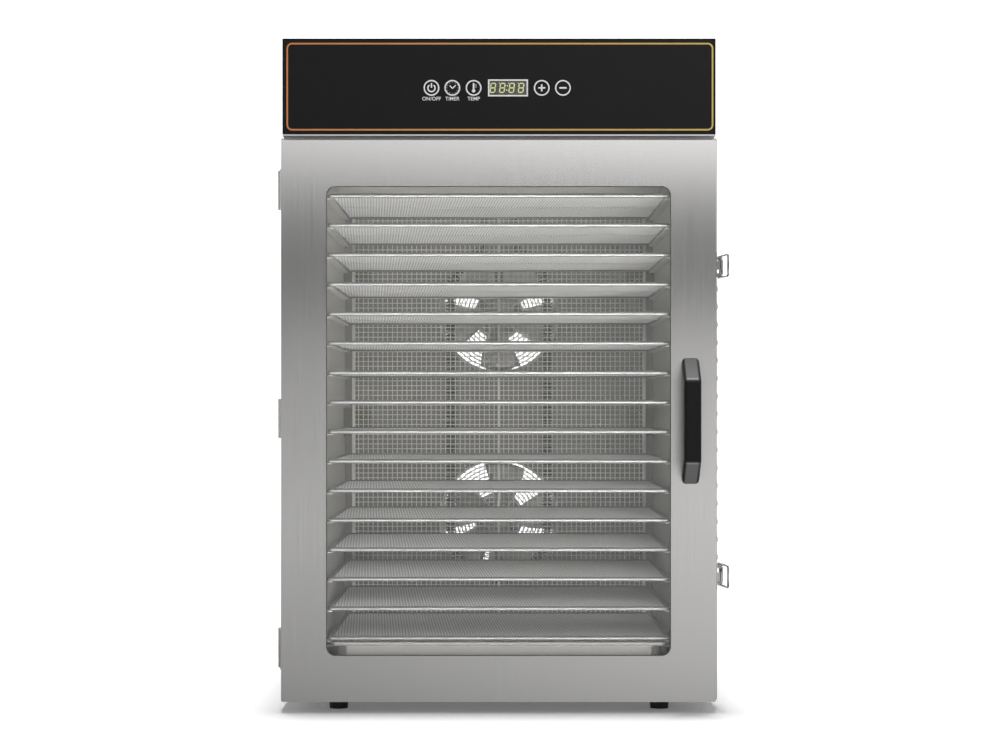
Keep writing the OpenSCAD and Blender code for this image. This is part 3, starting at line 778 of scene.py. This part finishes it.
def make_label(word, x, z, y, height):
    """A short printed word, centred on (x, z)."""
    curve = bpy.data.curves.new("label_" + word, "FONT")
    curve.body = word
    curve.size = height * 1.4
    curve.align_x = "CENTER"
    curve.align_y = "CENTER"
    curve.extrude = PRINT_T / 2
    curve.offset = 0.00004
    holder = bpy.data.objects.new("label_" + word, curve)
    bpy.context.collection.objects.link(holder)
    bpy.context.view_layer.update()
    data = bpy.data.meshes.new_from_object(holder.evaluated_get(bpy.context.evaluated_depsgraph_get()))
    bpy.data.objects.remove(holder)
    data.transform(Matrix.Translation((x, y - PRINT_T / 2, z)) @ Matrix.Rotation(math.radians(90), 4, "X"))
    data.materials.clear()
    place_piece("label_" + word.replace("/", "_"), data, M_WHITE, "cabinet")


def make_labels():
    panel_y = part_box("control_panel")[0][1]
    for key, word in (("power", "ON/OFF"), ("timer", "TIMER"), ("temp", "TEMP")):
        lo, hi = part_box("key_" + key)
        make_label(word, (lo[0] + hi[0]) / 2, lo[2] - 2.7 * MM, panel_y, 3.7 * MM)


def make_outline():
    """The coloured line round the panel."""
    lo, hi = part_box("control_panel")
    line = 1.6 * MM
    low = (lo[0] + 4.2 * MM, lo[2] + 3.6 * MM)
    high = (hi[0] - 2.4 * MM, hi[2] - 4.4 * MM)
    outer = [p for p, _ in rounded_loop(low, high, 5.6 * MM, 8)]
    inner = [p for p, _ in rounded_loop((low[0] + line, low[1] + line), (high[0] - line, high[1] - line),
                                        4.0 * MM, 8)]
    bm = bmesh.new()
    add_band(bm, inner, outer, lo[1])
    piece("panel_outline", bm, M_OUTLINE, "cabinet")


def add_segment(bm, cx, cz, horizontal, length, thick, lean, y):
    """One lit bar of a digit, with pointed ends, leaning to the right."""
    half, t = length / 2, thick / 2
    if horizontal:
        outline = [(-half, 0), (-half + t, t), (half - t, t), (half, 0), (half - t, -t), (-half + t, -t)]
    else:
        outline = [(0, -half), (t, -half + t), (t, half - t), (0, half), (-t, half - t), (-t, -half + t)]
    add_patch(bm, [(cx + px + lean * (cz + pz), cz + pz) for px, pz in outline], y)


def make_digits():
    """Four slanted seven-bar digits and a colon."""
    lo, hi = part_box("display_lens")
    mid_z = (lo[2] + hi[2]) / 2
    height, width, thick, lean = 9.0 * MM, 4.6 * MM, 1.15 * MM, 0.13
    y = lo[1]
    centres = [(lo[0] + hi[0]) / 2 + (i - 1.5) * 9.4 * MM - 1 * MM for i in range(4)]
    bars = [(0, 1, True), (0, 0, True), (0, -1, True), (-1, 0.5, False), (1, 0.5, False),
            (-1, -0.5, False), (1, -0.5, False)]
    digits = bmesh.new()
    for cx in centres:
        for side, level, flat in bars:
            length = width * 0.94 if flat else height / 2 * 0.94
            add_segment(digits, cx + side * width / 2, level * height / 2, flat, length, thick, lean, y)
        dot = arc_points(cx - width / 2 - 0.6 * MM, height / 2 + 0.2 * MM, 0.5 * MM, 0, 330, 11)
        add_patch(digits, dot, y)
    for level in (-2.2 * MM, 2.2 * MM):
        dot = arc_points((centres[1] + centres[2]) / 2 + lean * level, level, 0.75 * MM, 0, 330, 11)
        add_patch(digits, dot, y)
    bmesh.ops.translate(digits, verts=digits.verts, vec=(0, 0, mid_z))
    piece("display_digits", digits, M_DIGIT, "cabinet")
    line = 1.4 * MM
    bm = bmesh.new()
    add_band(bm, [(lo[0] + line, lo[2] + line), (hi[0] - line, lo[2] + line), (hi[0] - line, hi[2] - line),
                  (lo[0] + line, hi[2] - line)],
             [(lo[0], lo[2]), (hi[0], lo[2]), (hi[0], hi[2]), (lo[0], hi[2])], y)
    piece("display_frame", bm, M_WHITE, "cabinet")


def make_window_bead():
    """The thin grey seal bead round the window."""
    glass_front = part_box("door_glass")[0][1]
    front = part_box("door_skin")[0][1]
    low = (WINDOW[0][0] + 0.1 * MM, WINDOW[1][0] + 0.1 * MM)
    high = (WINDOW[0][1] - 0.1 * MM, WINDOW[1][1] - 0.1 * MM)
    path = []
    for (x, z), out in rounded_loop(low, high, 9.4 * MM, 8):
        point = Vector((x, (front + glass_front) / 2, z))
        path.append((point, Vector((out[0], 0, out[1])), Vector((0, 1, 0))))
    deep = (glass_front - front) / 2 - 0.1 * MM
    bm = bmesh.new()
    wide = 0.8 * MM
    add_sweep(bm, path, [(0, -deep), (0, deep), (-wide, deep), (-wide, -deep)], True)
    piece("window_bead", bm, M_BEAD, "door")


# ---- CAD nodes that stay ----

def finish_cad_nodes():
    paint(M_CABINET, "base_panel", "side_panel_left", "side_panel_right", "top_panel", "rear_panel",
          "front_frame", "control_housing")
    paint(M_LINER, "liner_left", "liner_right", "liner_top", "liner_floor")
    paint(M_BAFFLE_SHADED, "fan_baffle")
    paint(M_WIRE, "heat_guard")
    paint(M_HEATER, "heater_loop")
    paint(M_MOTOR, "fan_motor_upper", "fan_motor_lower")
    paint(M_FAN, "fan_blades_upper", "fan_blades_lower")
    paint(M_BLACK, "control_panel")
    paint(M_DISPLAY, "display_lens")
    paint(M_KEY, *["key_" + key for key in KEYS])
    paint(M_DOOR, "door_skin")
    paint(M_INNER, "door_inner")
    paint(M_GLASS, "door_glass")
    paint(M_SEAL, "door_gasket")
    paint(M_HANDLE, "door_handle")
    paint(M_HINGE, "hinge_body_leaves", "hinge_door_leaves", "hinge_pins", "panel_screws")
    paint(M_CHROME, "latch_bases", "latch_catches", "latch_lever_upper", "latch_lever_lower",
          "latch_bail_upper", "latch_bail_lower")
    paint(M_RUBBER, "feet")
    paint(M_INLET, "power_inlet")
    paint(M_PAN, "drip_tray")
    paint(M_MESH, *TRAYS)
    soften("door_handle", 3.2 * MM, 4)
    soften("control_housing", 0.5 * MM)
    soften("control_panel", 0.4 * MM)
    soften("drip_tray", 0.4 * MM)
    soften("latch_catches", 0.3 * MM)
    soften("latch_bases", 0.3 * MM)


# ---- stage ----

def emission_mix(name, colour, glow, rough):
    m = Material(name)
    m.shader.inputs["Base Color"].default_value = colour
    m.shader.inputs["Roughness"].default_value = rough
    m.shader.inputs["Emission Color"].default_value = colour
    m.shader.inputs["Emission Strength"].default_value = glow
    return m.data


def flat_sheet(name, corners):
    bm = bmesh.new()
    bm.faces.new([bm.verts.new(corner) for corner in corners])
    data = bpy.data.meshes.new(name)
    bm.to_mesh(data)
    bm.free()
    sheet = bpy.data.objects.new(name, data)
    bpy.context.collection.objects.link(sheet)
    return sheet


AISLE = 1.0  # half the width of the floor strip in front of the door that the steel doesn't mirror
AISLE_END = -0.2


def make_stage():
    """White floor in four sheets and a backdrop behind it."""
    half, front, back, top = 5.0, -6.0, 4.0, 2.2
    low = -0.01
    wall = flat_sheet("backdrop", [(-half, back, low), (half, back, low),
                                   (half, back, top), (-half, back, top)])
    wall.data.materials.append(emission_mix("backdrop_white", (0.9, 0.9, 0.9, 1.0), 1.15, 0.9))
    wall.visible_shadow = False
    white = emission_mix("floor_white", (0.87, 0.87, 0.87, 1.0), 0.1, 0.8)
    parts = {"floor_left": (-half, -AISLE, front, back),
             "floor_right": (AISLE, half, front, back),
             "floor_back": (-AISLE, AISLE, AISLE_END, back),
             "floor_front": (-AISLE, AISLE, front, AISLE_END)}
    for name, (x0, x1, y0, y1) in parts.items():
        floor = flat_sheet(name, [(x0, y0, 0), (x1, y0, 0), (x1, y1, 0), (x0, y1, 0)])
        floor.data.materials.append(white)
        floor.visible_glossy = name != "floor_front"
        floor.visible_shadow = name != "floor_front"


def area_light(name, place, aim, size, power):
    data = bpy.data.lights.new(name, "AREA")
    data.shape = "RECTANGLE"
    data.size, data.size_y = size
    data.energy = power
    light = bpy.data.objects.new(name, data)
    light.location = place
    light.rotation_euler = (Vector(aim) - Vector(place)).to_track_quat("-Z", "Y").to_euler()
    bpy.context.collection.objects.link(light)
    return light


CHAMBER = ("tray_", "liner_", "fan_baffle", "heat", "drip_tray")
FAN_PARTS = ("fan_wheel", "fan_motor")
CASING = ("door_skin", "side_panel", "rear_panel")
CARD_Y = -4.2  # the cards that the door's steel mirrors


def gather(name, *prefixes):
    """A collection of the mesh objects whose names start with one of the prefixes."""
    group = bpy.data.collections.new(name)
    for obj in bpy.data.objects:
        if obj.type == "MESH" and obj.name.startswith(prefixes):
            group.objects.link(obj)
    return group


def light_chamber(name, place, aim, power, spread, receivers):
    """Soft light for the inside only, which the trays don't shade from each other."""
    light = area_light(name, place, aim, (1.8, 0.9), power)
    light.data.spread = math.radians(spread)
    light.light_linking.receiver_collection = gather(name + "_receivers", *receivers)
    light.light_linking.blocker_collection = gather(name + "_blockers", *CASING)


def make_lights():
    area_light("key_light", (2.2, -2.6, 2.6), (0, 0, 0.35), (1.2, 1.2), 15)
    area_light("fill_light", (-2.6, -2.6, 1.8), (0, 0, 0.3), (1.6, 1.6), 5)
    area_light("top_card_left", (-0.9, CARD_Y, 1.4), (-0.9, 0, 1.4), (1.8, 1.0), 6.0)
    area_light("top_card_right", (0.9, CARD_Y, 1.4), (0.9, 0, 1.4), (1.8, 1.0), 10.0)
    area_light("low_card_left", (-1.5, CARD_Y, 0.0), (-1.5, 0, 0.0), (3.0, 1.1), 3.3)
    area_light("low_card_right", (1.5, CARD_Y, 0.0), (1.5, 0, 0.0), (3.0, 1.1), 8.0)
    area_light("side_card_left", (-4.5, 0.6, 1.3), (0, 0.6, 1.3), (6.0, 2.6), 17)
    area_light("side_card_right", (4.5, 0.6, 1.3), (0, 0.6, 1.3), (6.0, 2.6), 17)
    sun = bpy.data.lights.new("ceiling", "SUN")
    sun.energy = 3.0
    sun.angle = math.radians(10)
    ceiling = bpy.data.objects.new("ceiling", sun)
    ceiling.rotation_euler = (math.radians(-3), 0, 0)
    bpy.context.collection.objects.link(ceiling)
    grip = area_light("handle_light", (0.19, -0.4, 2.2), (0.19, -0.21, 0.29), (0.5, 0.2), 115)
    grip_low = area_light("handle_light_low", (0.19, -0.3, -1.0), (0.19, -0.25, 0.23), (0.5, 0.2), 35)
    handle = gather("handle_receivers", "door_handle")
    for light in (grip, grip_low):
        light.light_linking.receiver_collection = handle
    light_chamber("chamber_low", (0.2, -2.6, -0.5), (0, 0, 0.62), 8.4, 34, CHAMBER)
    light_chamber("chamber_front", (0.1, -3.3, 0.42), (0, 0, 0.35), 8.6, 180, CHAMBER + FAN_PARTS)
    world = bpy.data.worlds.new("studio")
    world.use_nodes = True
    world.node_tree.nodes["Background"].inputs["Color"].default_value = (0.08, 0.08, 0.08, 1.0)
    world.node_tree.nodes["Background"].inputs["Strength"].default_value = 1.0
    bpy.context.scene.world = world


CAMERA_DISTANCE = 2.56
EYE_HEIGHT = 0.308
EYE_X = -0.0005
SHIFT_X = 0.0015
SHIFT_Y = 0.03
VIEW_WIDTH = 1.0
SENSOR = 36.0


def make_camera():
    """Long lens, level, with a small rise that sets the object in the frame."""
    data = bpy.data.cameras.new("camera")
    data.sensor_width = SENSOR
    data.lens = SENSOR * CAMERA_DISTANCE / VIEW_WIDTH
    data.shift_x = SHIFT_X
    data.shift_y = SHIFT_Y
    camera = bpy.data.objects.new("camera", data)
    camera.location = (EYE_X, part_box("door_skin")[0][1] - CAMERA_DISTANCE, EYE_HEIGHT)
    camera.rotation_euler = (math.radians(90), 0, 0)
    bpy.context.collection.objects.link(camera)
    bpy.context.scene.camera = camera
    bpy.context.scene.view_settings.view_transform = "Standard"


make_camera()
make_stage()
finish_cad_nodes()
make_trays()
make_guard()
make_heater()
make_fan("upper", 49)
make_fan("lower", 5)
make_bail("upper")
make_bail("lower")
make_key_prints()
make_labels()
make_outline()
make_digits()
make_window_bead()
make_lights()
